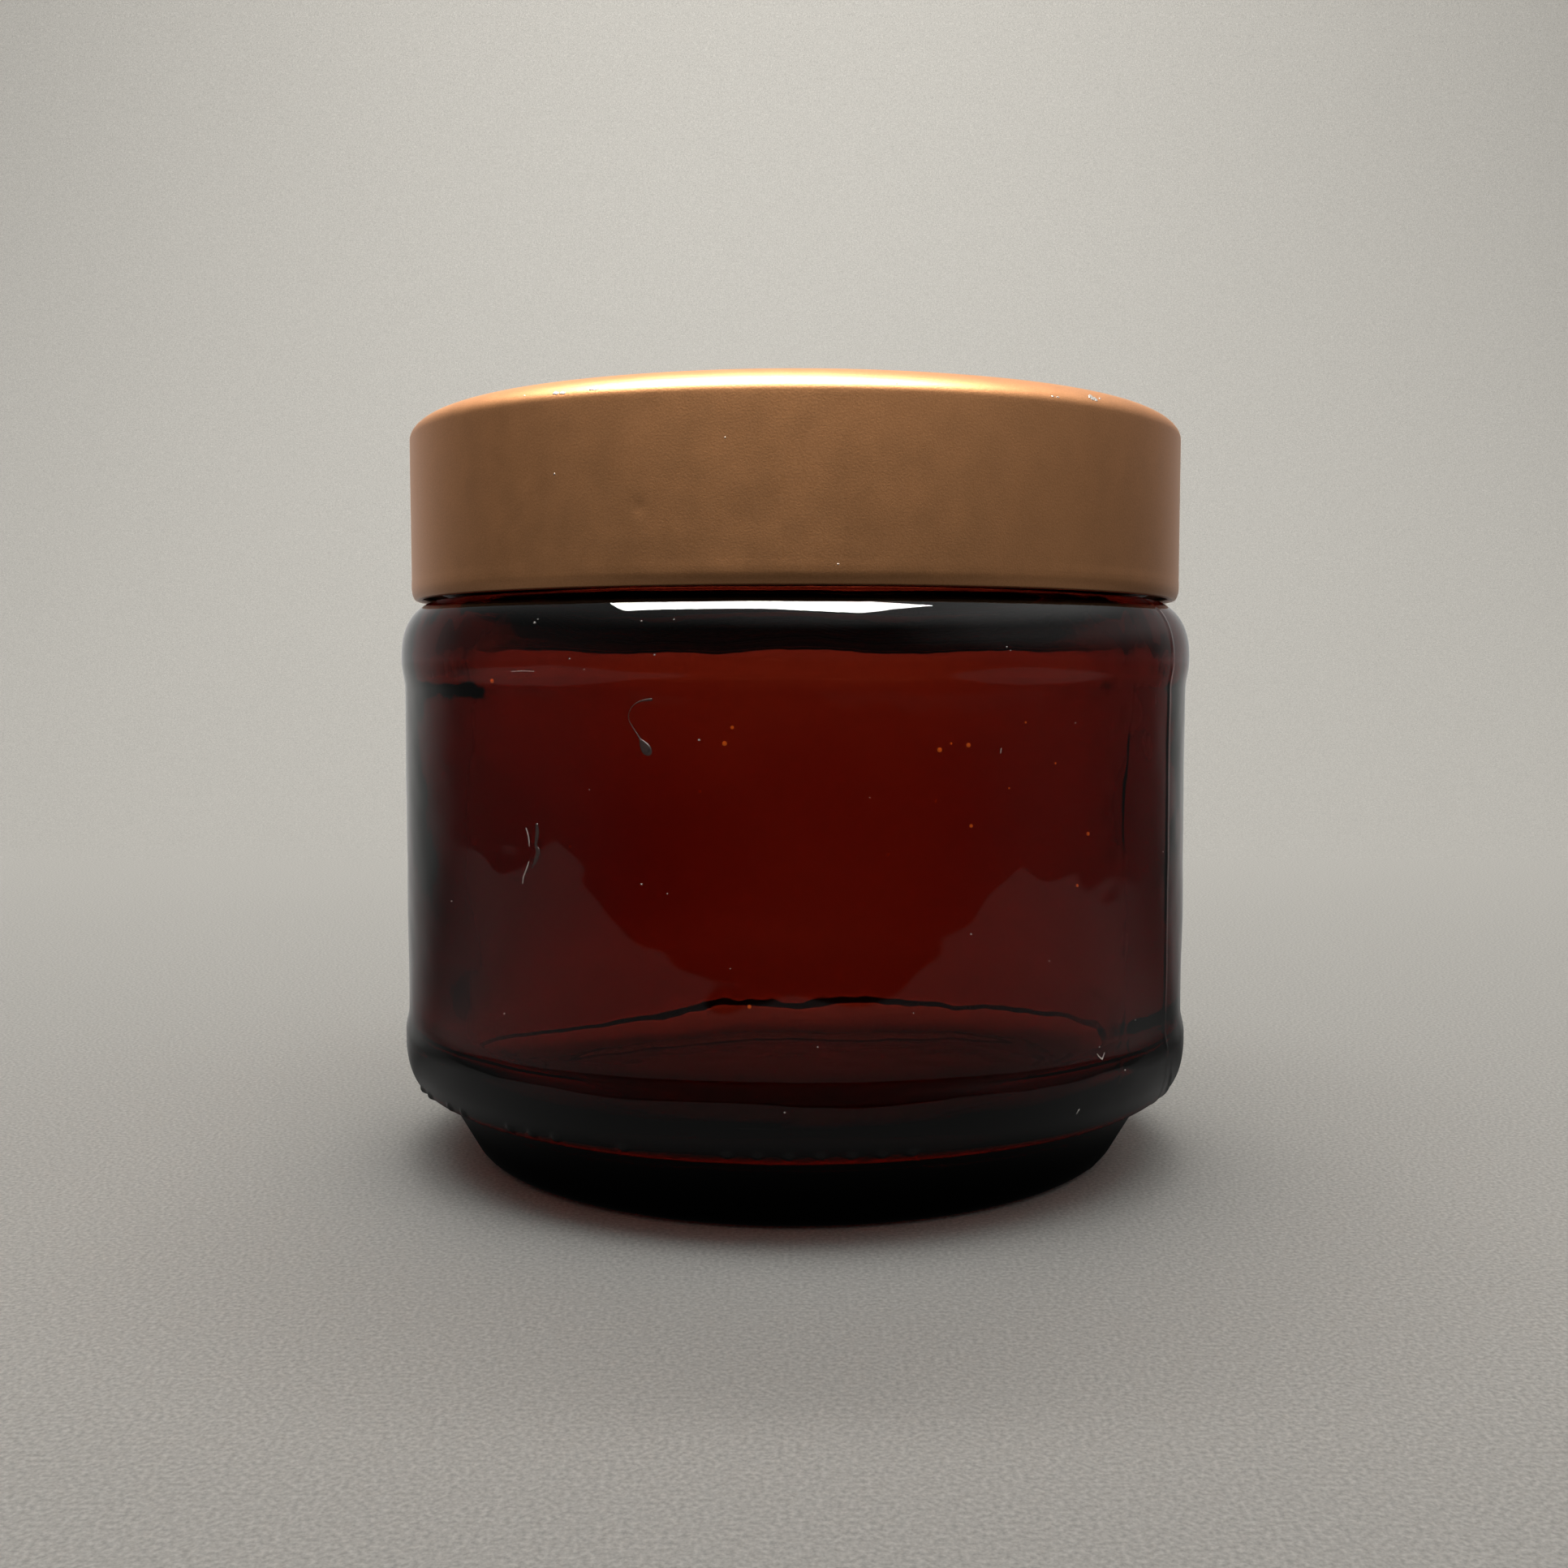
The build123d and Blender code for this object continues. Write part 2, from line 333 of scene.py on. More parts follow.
# mould seams: two fine raised lines up the outside
for s in (front(61.0), front(241.0)):
    off += tagw("panel", "heel", "shoulder", "foot", "neck") * 0.06 * bump(wrap(A - s) * 40.0, 0.55)
# a short raised tick on the heel beside the seam
off += tagw("heel") * 0.22 * bump((wrap(A - front(64.0)) * 40.0 + (Z - 9.5) * 0.25), 0.45) * bump(Z - 9.6, 2.4)
# mould dots round the heel
for d in (-66, -62, -54.5, -50.5, -40, -36, -32, -22, -8.6, -4.8, -1.0, 2.8, 6.6, 10.4, 14.2):
    dist = np.sqrt((wrap(A - front(d)) * 39.0) ** 2 + (Z - 8.45) ** 2)
    off += tagw("heel") * 0.26 * bump(dist, 0.62)
# neck thread
off += tagw("neck") * thread(A, Z, THREAD_Z, 1.5, 2.6, 0.9, 1.3)
# stay inside the CAD's outline: no higher than the bead's radius, no lower than the bearing ring
nor_r = normals2(pts)[:, 0][:, None]
room_out = (BODY_R - 0.005 - pts[:, 0][:, None]) / np.maximum(np.abs(nor_r), 0.05)
off = np.where((nor_r > 0.05) & tagw("panel", "heel", "shoulder").astype(bool), np.minimum(off, room_out), off)
# the base never drops below the bearing ring's plane
nor_z = normals2(pts)[:, 1][:, None]
room_dn = pts[:, 1][:, None] / np.maximum(-nor_z, 0.05)
off = np.where((nor_z < -0.05) & tagw("base", "ring", "foot").astype(bool), np.minimum(off, room_dn), off)
glass = revolved("jar_glass", pts, az, off)
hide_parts("glass_jar")
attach(glass, "jar")

# ------------------------------------------------------------------ lid shell
T = 0.5
# runs from the middle of the top, out, down, round the roll and back up the inside
sh2 = Path((0.0, LID_TOP - T), "in")
sh2.line((34.46, LID_TOP - T), 1.2, "in")
sh2.arc((34.46, LID_TOP - 2.4), 90, 0, 0.4, "in", 4.24, 1.9)
sh2.line((38.70, LID_BOTTOM + 1.3), 1.0, "in")
sh2.curve([(38.55, LID_BOTTOM + 0.75), (38.20, LID_BOTTOM + 0.45)], 5, "roll")
sh2.curve([(38.12, LID_BOTTOM + 0.25), (38.22, LID_BOTTOM + 0.04)], 4, "roll")
sh2.line((38.62, LID_BOTTOM + 0.0), 0.12, "roll")
sh2.curve([(38.90, LID_BOTTOM + 0.12), (39.08, LID_BOTTOM + 0.50), (39.18, LID_BOTTOM + 1.0), (39.2, LID_BOTTOM + 1.6)], 6, "roll")
sh2.line((39.2, LID_TOP - 2.4), 0.42, "side")
sh2.arc((34.46, LID_TOP - 2.4), 0, 90, 0.22, "corner", 4.74, 2.4)
sh2.line((0.0, LID_TOP), 0.9, "top")
lp, ltag = sh2.array()
laz = np.radians(np.concatenate([np.arange(-170.0, -10.0, 0.5), np.arange(-10.0, 190.0, 0.8)]))
LP = grid3(lp, laz)
LA = laz[None, :]
LZ = LP[..., 2]
lout = np.isin(ltag, ("side", "corner", "top")).astype(float)[:, None]
loff = lout * 0.012 * Waves(41, (30, 30, 22))(LP) * smooth(lp[:, 0][:, None] + 0 * LA, 0.0, 6.0)
loff -= lout * 0.012
# a small dent in the side
dd = np.sqrt((wrap(LA - front(-19.6)) * 39.2) ** 2 + (LZ - 62.5) ** 2 * 0.7)
loff -= lout * 0.05 * bump(dd, 0.8)
loff = np.minimum(loff, 0.0)
shell = revolved("lid_shell_metal", lp, laz, loff)
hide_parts("lid_shell")
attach(shell, "lid")

# ------------------------------------------------------------------ inner cap
TOPZ = LID_TOP - T
ip = Path((0.0, TOPZ - 1.5), "in")
ip.line((34.9, TOPZ - 1.5), 1.5, "in")
ip.arc((34.9, TOPZ - 1.7), 90, 0, 0.1, "in", 0.2)
ip.line((35.1, 57.0), 0.24, "skirt")
ip.arc((35.4, 57.0), 180, 270, 0.1, "lip", 0.3)
ip.line((36.3, 56.7), 0.3, "lip")
ip.arc((36.3, 56.9), -90, 0, 0.1, "lip", 0.2)
ip.line((36.5, 57.25), 0.2, "lip")
ip.arc((36.65, 57.25), 180, 90, 0.1, "lip", 0.15)
ip.line((38.4, 57.4), 0.4, "flange")
ip.arc((38.4, 57.55), -90, 0, 0.1, "flange", 0.15)
ip.line((38.55, 58.25), 0.3, "flange")
ip.arc((38.4, 58.25), 0, 90, 0.1, "flange", 0.15)
ip.line((36.5, 58.4), 0.5, "flange")
ip.line((36.5, TOPZ - 1.15), 1.0, "out")
ip.line((34.16, TOPZ), 0.5, "out")
ip.line((0.0, TOPZ), 2.0, "out")
ipp, itag = ip.array()
iaz = np.radians(np.arange(0.0, 360.0, 1.0))
IP = grid3(ipp, iaz)
ioff = np.isin(itag, ("skirt",)).astype(float)[:, None] * thread(
    iaz[None, :], IP[..., 2], THREAD_Z - PITCH / 2, 1.25, 2.0, 0.6, 1.3, 0.04)
insert = revolved("lid_inner_cap", ipp, iaz, ioff)
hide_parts("lid_insert")
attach(insert, "lid")

# ------------------------------------------------------------------ foam wad
fp = Path((0.0, RIM_Z), "low")
fp.line((29.0, RIM_Z), 1.5, "low")
fp.line((34.5, RIM_Z), 0.3, "low")
fp.arc((34.5, RIM_Z + 0.3), -90, 0, 0.1, "edge", 0.3)
fp.line((34.8, RIM_Z + 1.0), 0.3, "edge")
fp.arc((34.5, RIM_Z + 1.0), 0, 90, 0.1, "edge", 0.3)
fp.line((0.0, RIM_Z + 1.3), 2.0, "high")
fpp, ftag = fp.array()
faz = np.radians(np.arange(0.0, 360.0, 1.5))
wad = revolved("lid_foam_wad", fpp, faz)
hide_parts("lid_liner")
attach(wad, "wad")


# ------------------------------------------------------------------ materials
def material(name):
    m = bpy.data.materials.new(name)
    m.use_nodes = True
    nt = m.node_tree
    nt.nodes.clear()
    out = nt.nodes.new("ShaderNodeOutputMaterial")
    bsdf = nt.nodes.new("ShaderNodeBsdfPrincipled")
    nt.links.new(bsdf.outputs["BSDF"], out.inputs["Surface"])
    return m, nt, bsdf, out


def node(nt, kind, **kw):
    n = nt.nodes.new(kind)
    for k, v in kw.items():
        if k in n.inputs:
            n.inputs[k].default_value = v
        else:
            setattr(n, k, v)
    return n


def coords(nt, scale=(1, 1, 1)):
    """Object coordinates in millimetres."""
    tc = nt.nodes.new("ShaderNodeTexCoord")
    mp = nt.nodes.new("ShaderNodeMapping")
    mp.inputs["Scale"].default_value = tuple(1000.0 * s for s in scale)
    nt.links.new(tc.outputs["Object"], mp.inputs["Vector"])
    return mp.outputs["Vector"]


def noise(nt, vec, scale, detail=2.0, rough=0.5):
    n = nt.nodes.new("ShaderNodeTexNoise")
    n.inputs["Scale"].default_value = scale
    n.inputs["Detail"].default_value = detail
    n.inputs["Roughness"].default_value = rough
    nt.links.new(vec, n.inputs["Vector"])
    return n.outputs["Fac"]


def ramp(nt, fac, a, b, lo=0.0, hi=1.0):
    r = nt.nodes.new("ShaderNodeMapRange")
    r.inputs["From Min"].default_value = a
    r.inputs["From Max"].default_value = b
    r.inputs["To Min"].default_value = lo
    r.inputs["To Max"].default_value = hi
    r.clamp = True
    nt.links.new(fac, r.inputs["Value"])
    return r.outputs["Result"]


def mix(nt, fac, a, b):
    m = nt.nodes.new("ShaderNodeMix")
    m.data_type = "RGBA"
    if hasattr(fac, "is_linked"):
        nt.links.new(fac, m.inputs["Factor"])
    else:
        m.inputs["Factor"].default_value = fac
    for s, v in (("A", a), ("B", b)):
        sock = [i for i in m.inputs if i.name == s and i.type == "RGBA"][0]
        if hasattr(v, "is_linked"):
            nt.links.new(v, sock)
        else:
            sock.default_value = (*v, 1.0)
    return [o for o in m.outputs if o.type == "RGBA"][0]


def bump_node(nt, height, strength, distance, normal=None):
    b = nt.nodes.new("ShaderNodeBump")
    b.inputs["Strength"].default_value = strength
    b.inputs["Distance"].default_value = distance
    nt.links.new(height, b.inputs["Height"])
    if normal is not None:
        nt.links.new(normal, b.inputs["Normal"])
    return b.outputs["Normal"]


# amber glass
gm, nt, bs, out = material("amber_glass")
bs.inputs["Base Color"].default_value = (1.0, 1.0, 1.0, 1.0)
bs.inputs["Transmission Weight"].default_value = 1.0
bs.inputs["IOR"].default_value = 1.52
v = coords(nt)
rough = ramp(nt, noise(nt, v, 0.35, 3.0), 0.45, 0.75, 0.0, 0.03)
nt.links.new(rough, bs.inputs["Roughness"])
vol = nt.nodes.new("ShaderNodeVolumeAbsorption")
vol.inputs["Color"].default_value = (0.70, 0.25, 0.07, 1.0)
vol.inputs["Density"].default_value = 640.0
nt.links.new(vol.outputs["Volume"], out.inputs["Volume"])
glass.data.materials.append(gm)

# satin copper on aluminium
cm, nt, bs, out = material("satin_copper")
v = coords(nt)
bs.inputs["Metallic"].default_value = 1.0
bs.inputs["Coat Weight"].default_value = 0.4
bs.inputs["Coat Roughness"].default_value = 0.30
tone = ramp(nt, noise(nt, v, 0.12, 4.0, 0.6), 0.3, 0.7)
col = mix(nt, tone, (0.71, 0.325, 0.132), (0.735, 0.342, 0.142))
grain = noise(nt, v, 6.5, 2.0, 0.6)
col = mix(nt, ramp(nt, grain, 0.35, 0.65), col, (0.80, 0.385, 0.172))
nt.links.new(col, bs.inputs["Base Color"])
rr = ramp(nt, noise(nt, v, 0.4, 3.0), 0.3, 0.7, 0.430, 0.460)
zz = nt.nodes.new("ShaderNodeSeparateXYZ")
nt.links.new(v, zz.inputs["Vector"])
worn = ramp(nt, zz.outputs["Z"], 56.0, 71.0, -0.040, 0.0)      # a little smoother towards the lower edge
sm_ = nt.nodes.new("ShaderNodeMath")
sm_.operation = "ADD"
nt.links.new(rr, sm_.inputs[0])
nt.links.new(worn, sm_.inputs[1])
nt.links.new(sm_.outputs[0], bs.inputs["Roughness"])
nrm = bump_node(nt, grain, 0.35, 0.00004)
nt.links.new(nrm, bs.inputs["Normal"])
shell.data.materials.append(cm)

# black polypropylene
pm, nt, bs, out = material("insert_black")
v = coords(nt)
col = mix(nt, ramp(nt, noise(nt, v, 0.3, 3.0), 0.3, 0.7), (0.012, 0.012, 0.012), (0.020, 0.019, 0.018))
nt.links.new(col, bs.inputs["Base Color"])
nt.links.new(ramp(nt, noise(nt, v, 1.2, 3.0), 0.3, 0.7, 0.30, 0.42), bs.inputs["Roughness"])
nt.links.new(bump_node(nt, noise(nt, v, 3.0, 2.0), 0.2, 0.00003), bs.inputs["Normal"])
insert.data.materials.append(pm)

# white foam
wm, nt, bs, out = material("wad_foam")
v = coords(nt)
cell = nt.nodes.new("ShaderNodeTexVoronoi")
cell.inputs["Scale"].default_value = 2.2
nt.links.new(v, cell.inputs["Vector"])
col = mix(nt, ramp(nt, cell.outputs["Distance"], 0.0, 0.6), (0.80, 0.80, 0.78), (0.88, 0.88, 0.87))
nt.links.new(col, bs.inputs["Base Color"])
bs.inputs["Roughness"].default_value = 0.65
nt.links.new(bump_node(nt, cell.outputs["Distance"], 0.25, 0.00008), bs.inputs["Normal"])
wad.data.materials.append(wm)

# ------------------------------------------------------------------ small marks on the glass and the lid
outer = np.isin(tags, ("heel", "panel", "shoulder"))
OZ, ORR = pts[outer][:, 1], pts[outer][:, 0]


def glass_r(z):
    """Outside radius of the glass at height z (mm)."""
    return float(np.interp(z, OZ, ORR))


def lid_r(z):
    """Outside radius of the lid at height z (mm)."""
    if z <= LID_TOP - 2.4:
        return LID_R
    return 34.46 + 4.74 * math.sqrt(max(0.0, 1 - ((z - LID_TOP + 2.4) / 2.4) ** 2))


def strand(path, widths, radius, rise, sink=0.08, seg=8, sub=5):
    """A closed, flat strand lying in a curved surface, along points (degrees right of front, height) with widths in mm."""
    q = np.array([(math.radians(a) * radius(z), z, w) for (a, z), w in zip(path, widths)])
    run = [q[0]]
    e = np.vstack([2 * q[0] - q[1], q, 2 * q[-1] - q[-2]])
    for j in range(1, len(e) - 2):
        p0, p1, p2, p3 = e[j - 1], e[j], e[j + 1], e[j + 2]
        for i in range(1, sub + 1):
            t = i / sub
            run.append(0.5 * (2 * p1 + (p2 - p0) * t + (2 * p0 - 5 * p1 + 4 * p2 - p3) * t * t + (3 * p1 - p0 - 3 * p2 + p3) * t ** 3))
    run = np.array(run)
    tan = np.gradient(run[:, :2], axis=0)
    tan /= np.maximum(np.linalg.norm(tan, axis=1), 1e-9)[:, None]
    side = np.c_[-tan[:, 1], tan[:, 0]]
    verts, faces = [], []

    def place(x, z, d):
        r = radius(z)
        a = x / r - math.pi / 2
        return ((r + d) * math.cos(a) * MM * K, (r + d) * math.sin(a) * MM * K, z * MM)

    for (x, z, w), sd in zip(run, side):
        w = max(w, 0.02) / 2
        for k in range(seg):
            t = 2 * math.pi * k / seg
            d = min(rise, BODY_R - 0.006 - radius(z)) * math.sin(t) if math.sin(t) > 0 else sink * math.sin(t)
            verts.append(place(x + sd[0] * w * math.cos(t), z + sd[1] * w * math.cos(t), d))
    m = len(run)
    for i in range(m - 1):
        for k in range(seg):
            faces.append((i * seg + k, i * seg + (k + 1) % seg, (i + 1) * seg + (k + 1) % seg, (i + 1) * seg + k))
    faces.append(tuple(range(seg - 1, -1, -1)))
    faces.append(tuple((m - 1) * seg + k for k in range(seg)))
    return verts, faces


def gather(name, parts, body, mat):
    """One object from several closed strands; the winding is made outward by their signed volume."""
    verts, faces = [], []
    for v, f in parts:
        c = np.array(v)
        vol = 0.0
        for g in f:
            for i in range(1, len(g) - 1):
                vol += np.dot(c[g[0]], np.cross(c[g[i]], c[g[i + 1]]))
        if vol < 0:
            f = [tuple(reversed(g)) for g in f]
        n = len(verts)
        verts += v
        faces += [tuple(i + n for i in g) for g in f]
    me = bpy.data.meshes.new(name)
    me.from_pydata(verts, [], faces)
    me.polygons.foreach_set("use_smooth", np.ones(len(faces), bool))
    me.materials.append(mat)
    me.update()
    o = bpy.data.objects.new(name, me)
    scene.collection.objects.link(o)
    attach(o, body)
    return o


def ball(a, z, r, size, seg=10):
    """A small closed ball inside the glass, size is its radius in mm."""
    A0 = front(a)
    c = np.array([r * math.cos(A0), r * math.sin(A0), z])
    verts, faces = [tuple((c + (0, 0, size)) * MM)], []
    rings = 5
    for i in range(1, rings + 1):
        t = math.pi * i / (rings + 1)
        for k in range(seg):
            u = 2 * math.pi * k / seg
            verts.append(tuple((c + size * np.array([math.sin(t) * math.cos(u), math.sin(t) * math.sin(u), math.cos(t)])) * MM))
    verts.append(tuple((c - (0, 0, size)) * MM))
    last = len(verts) - 1
    for k in range(seg):
        faces.append((0, 1 + k, 1 + (k + 1) % seg))
        faces.append((last, last - seg + (k + 1) % seg, last - seg + k))
        for i in range(rings - 1):
            a0 = 1 + i * seg
            faces.append((a0 + k, a0 + seg + k, a0 + seg + (k + 1) % seg, a0 + (k + 1) % seg))
    return verts, faces


dm, nt, bs, out = material("pale_dust")
v = coords(nt)
nt.links.new(mix(nt, ramp(nt, noise(nt, v, 5.0, 2.0), 0.35, 0.65), (0.52, 0.47, 0.44), (0.80, 0.77, 0.73)), bs.inputs["Base Color"])
bs.inputs["Roughness"].default_value = 0.6
film, nt, bs, out = material("dried_film")
v = coords(nt)
nt.links.new(mix(nt, ramp(nt, noise(nt, v, 4.0, 2.0), 0.35, 0.65), (0.060, 0.028, 0.024), (0.11, 0.055, 0.048)), bs.inputs["Base Color"])
bs.inputs["Roughness"].default_value = 0.45
sm, nt, bs, out = material("seed_painted_glint")
v = coords(nt)
nt.links.new(mix(nt, ramp(nt, noise(nt, v, 6.0, 1.0), 0.35, 0.65), (0.95, 0.42, 0.08), (1.0, 0.55, 0.14)), bs.inputs["Base Color"])
bs.inputs["Roughness"].default_value = 0.4
# the seeds glow a little though they are no lamp: painted glint
bs.inputs["Emission Color"].default_value = (1.0, 0.42, 0.06, 1.0)
bs.inputs["Emission Strength"].default_value = 0.22
al, nt, bs, out = material("bare_aluminium")
v = coords(nt)
bs.inputs["Metallic"].default_value = 1.0
nt.links.new(mix(nt, ramp(nt, noise(nt, v, 8.0, 2.0), 0.35, 0.65), (0.80, 0.74, 0.66), (0.95, 0.92, 0.88)), bs.inputs["Base Color"])
bs.inputs["Roughness"].default_value = 0.38

G, RISE = glass_r, 0.035
pale, filmy = [], []
# a dried drop with its tail
filmy.append(strand([(-17.5, 46.63), (-18.58, 46.56), (-19.64, 46.28), (-20.38, 45.74), (-20.55, 45.0), (-19.97, 44.26), (-19.24, 43.52), (-18.93, 43.12)],
                    [0.22, 0.16, 0.09, 0.08, 0.08, 0.09, 0.13, 0.26], G, RISE))
filmy.append(strand([(-19.05, 43.3), (-18.75, 42.95), (-18.35, 42.55), (-18.0, 42.2), (-17.85, 42.0)], [0.20, 0.62, 0.90, 0.72, 0.30], G, RISE))
# scuffs left of the middle
pale.append(strand([(-35.91, 35.45), (-35.60, 34.95), (-35.42, 34.4), (-35.36, 33.85)], [0.05, 0.13, 0.13, 0.05], G, RISE))
filmy.append(strand([(-34.08, 35.9), (-34.0, 35.05), (-34.25, 34.0), (-33.9, 33.42), (-34.37, 32.6), (-35.0, 31.9)], [0.20, 0.42, 0.30, 0.50, 0.34, 0.08], G, RISE))
pale.append(strand([(-35.45, 32.55), (-35.72, 32.1), (-36.0, 31.7), (-36.23, 31.35)], [0.05, 0.15, 0.12, 0.08], G, RISE))
pale.append(strand([(-36.15, 31.6), (-36.45, 31.1), (-36.57, 30.55)], [0.05, 0.12, 0.05], G, RISE))
# a nick low on the right
pale.append(strand([(41.87, 15.05), (42.2, 14.78), (42.85, 14.45)], [0.05, 0.10, 0.12], G, RISE))
pale.append(strand([(42.80, 14.45), (43.15, 14.72), (43.42, 15.0)], [0.12, 0.09, 0.05], G, RISE))
pale.append(strand([(38.2, 10.55), (37.95, 10.35), (37.75, 10.15)], [0.05, 0.09, 0.04], G, RISE))
pale.append(strand([(25.38, 42.52), (25.33, 42.3), (25.27, 42.05)], [0.05, 0.10, 0.05], G, RISE))
pale.append(strand([(-37.9, 48.93), (-36.0, 49.0), (-34.0, 48.95)], [0.04, 0.07, 0.04], G, RISE))
# dust
for a, z, w in ((-11.7, 43.3, 0.16), (42.36, 15.6, 0.13), (50.8, 17.15, 0.10), (47.5, 12.96, 0.12), (-19.0, 31.2, 0.13), (-15.7, 30.5, 0.10),
                (-28.4, 50.0, 0.13), (-26.4, 49.1, 0.10), (-34.3, 53.1, 0.20), (-33.9, 53.4, 0.10), (21.4, 26.9, 0.12), (59.3, 32.1, 0.12), (-40.2, 18.8, 0.12),
                (-17.0, 50.3, 0.14), (-18.9, 53.1, 0.12), (-14.8, 53.2, 0.10), (25.8, 51.0, 0.12), (26.3, 50.7, 0.09),
                (-26.0, 39.0, 0.07), (8.5, 38.6, 0.07), (14.0, 20.5, 0.08), (-8.0, 24.4, 0.07), (33.0, 24.0, 0.08), (-52.0, 28.0, 0.09), (37.0, 44.5, 0.08),
                (2.4, 17.9, 0.10), (-1.5, 12.5, 0.12)):
    pale.append(strand([(a - w * 0.9, z), (a, z + w * 0.15), (a + w * 0.9, z)], [w * 0.5, w, w * 0.5], G, RISE, sub=2))
# sparse dust right round, for the sides the front view doesn't show
rng = np.random.default_rng(77)
for _ in range(26):
    a, z, w = 95 + 170 * rng.random(), 14 + 33 * rng.random(), 0.07 + 0.07 * rng.random()
    pale.append(strand([(a - w * 0.9, z), (a, z + w * 0.15), (a + w * 0.9, z)], [w * 0.5, w, w * 0.5], G, RISE, sub=2))
gather("dust_on_glass", pale, "jar", dm)
gather("film_on_glass", filmy, "jar", film)
# seeds: tiny bubbles in the wall; their bright orange colour and faint glow are a painted glint of the light they
# gather
seeds = [(-9.08, 42.99, 0.20), (-8.11, 44.32, 0.15), (18.06, 42.39, 0.21), (22.02, 42.75, 0.19), (19.64, 42.91, 0.10), (22.5, 35.9, 0.15),
         (41.7, 34.6, 0.17), (39.7, 30.1, 0.14), (-6.0, 20.95, 0.17), (-44.0, 48.3, 0.22), (30.5, 44.6, 0.09), (28.0, 39.0, 0.08), (35.5, 41.0, 0.09)]
rng = np.random.default_rng(78)
seeds += [(100 + 160 * rng.random(), 16 + 30 * rng.random(), 0.09 + 0.10 * rng.random()) for _ in range(9)]
gather("seeds_in_glass", [ball(a, z, 37.6, s) for a, z, s in seeds], "jar", sm)
# chips in the lid's edge, where the finish is worn to the metal
chips = []
for a, z, w, h in ((-31.6, 72.45, 0.60, 0.30), (-30.5, 72.40, 0.62, 0.26), (-25.9, 72.52, 0.80, 0.32), (41.4, 72.72, 0.70, 0.52), (42.0, 72.6, 0.50, 0.38),
                   (43.2, 72.8, 0.34, 0.12), (33.8, 72.3, 0.22, 0.14), (34.7, 72.3, 0.34, 0.12), (-37.0, 72.6, 0.20, 0.10), (12.0, 72.5, 0.16, 0.10),
                   (131.0, 72.5, 0.40, 0.18), (202.0, 72.6, 0.32, 0.16), (247.0, 72.5, 0.50, 0.20),
                   (-31.7, 65.65, 0.16, 0.16), (-8.7, 68.0, 0.10, 0.10), (4.85, 57.7, 0.14, 0.12)):
    d = math.degrees(w / 39.0) / 2
    chips.append(strand([(a - d, z - h * 0.2), (a - d * 0.3, z + h * 0.2), (a + d * 0.4, z - h * 0.1), (a + d, z + h * 0.15)], [h * 0.3, h, h * 0.8, h * 0.2],
                        lid_r, 0.012, sub=3))
gather("chips_on_lid", chips, "lid", al)

# ------------------------------------------------------------------ floor and backdrop
def paper_material():
    m, nt, bs, out = material("grey_paper")
    v = coords(nt)
    speck = noise(nt, v, 2.6, 3.0, 0.6)
    col = mix(nt, ramp(nt, speck, 0.32, 0.68), (0.41, 0.398, 0.374), (0.65, 0.633, 0.596))
    nt.links.new(col, bs.inputs["Base Color"])
    bs.inputs["Roughness"].default_value = 0.9
    nt.links.new(bump_node(nt, speck, 0.4, 0.00012), bs.inputs["Normal"])
    return m


def sheet_mesh(name, verts, faces, mat):
    me = bpy.data.meshes.new(name)
    me.from_pydata(verts, [], faces)
    me.polygons.foreach_set("use_smooth", np.ones(len(faces), bool))
    me.materials.append(mat)
    o = bpy.data.objects.new(name, me)
    scene.collection.objects.link(o)
    return o


paper = paper_material()
# near sweep: lies under the jar and curves up behind it
NEAR, HALF, BACK, BEND, TALL = -0.262, 0.75, 0.26, 0.40, 1.5
prof = [(NEAR, 0.0), (BACK, 0.0)]
for i in range(1, 33):
    a = math.radians(90 * i / 32)
    prof.append((BACK + BEND * math.sin(a), BEND - BEND * math.cos(a)))
prof.append((BACK + BEND, TALL))
vv = [(x, y, z) for (y, z) in prof for x in (-HALF, HALF)]
ff = [(2 * i, 2 * i + 1, 2 * i + 3, 2 * i + 2) for i in range(len(prof) - 1)]
sweep = sheet_mesh("sweep", vv, ff, paper)
sweep.visible_glossy = False

# the rest of the room's pale floor and wall
N = 96
ring = []
for r, z in [(0.0, -0.0004), (1.3, -0.0004)] + [(1.3 + 0.3 * math.sin(math.radians(t)), 0.3 - 0.3 * math.cos(math.radians(t))) for t in range(10, 91, 10)] + [(1.6, 2.2)]:
    ring.append([(r * math.cos(2 * math.pi * k / N), r * math.sin(2 * math.pi * k / N), z) for k in range(N)])
vv = [p for row in ring[1:] for p in row] + [ring[0][0]]
ff = [(i * N + k, i * N + (k + 1) % N, (i + 1) * N + (k + 1) % N, (i + 1) * N + k) for i in range(len(ring) - 2) for k in range(N)]
ff += [(len(vv) - 1, (k + 1) % N, k) for k in range(N)]
ff = [tuple(reversed(f)) for f in ff]
room = sheet_mesh("room", vv, ff, paper)
room.visible_glossy = False
room.visible_diffuse = False
room.visible_shadow = False

# painted reflection of the floor: a glowing sheet that only shiny surfaces see, with painted shade near the camera and
# to the sides and painted light behind
em = bpy.data.materials.new("painted_floor_reflection")
em.use_nodes = True
en = em.node_tree
en.nodes.clear()
eo = en.nodes.new("ShaderNodeOutputMaterial")
ee = en.nodes.new("ShaderNodeEmission")
en.links.new(ee.outputs["Emission"], eo.inputs["Surface"])
ee.inputs["Color"].default_value = (1.0, 0.985, 0.95, 1.0)


def mrange(nt, sock, a, b, lo, hi, kind="SMOOTHSTEP"):
    r = nt.nodes.new("ShaderNodeMapRange")
    r.interpolation_type = kind
    r.inputs["From Min"].default_value = a
    r.inputs["From Max"].default_value = b
    r.inputs["To Min"].default_value = lo
    r.inputs["To Max"].default_value = hi
    nt.links.new(sock, r.inputs["Value"])
    return r.outputs["Result"]


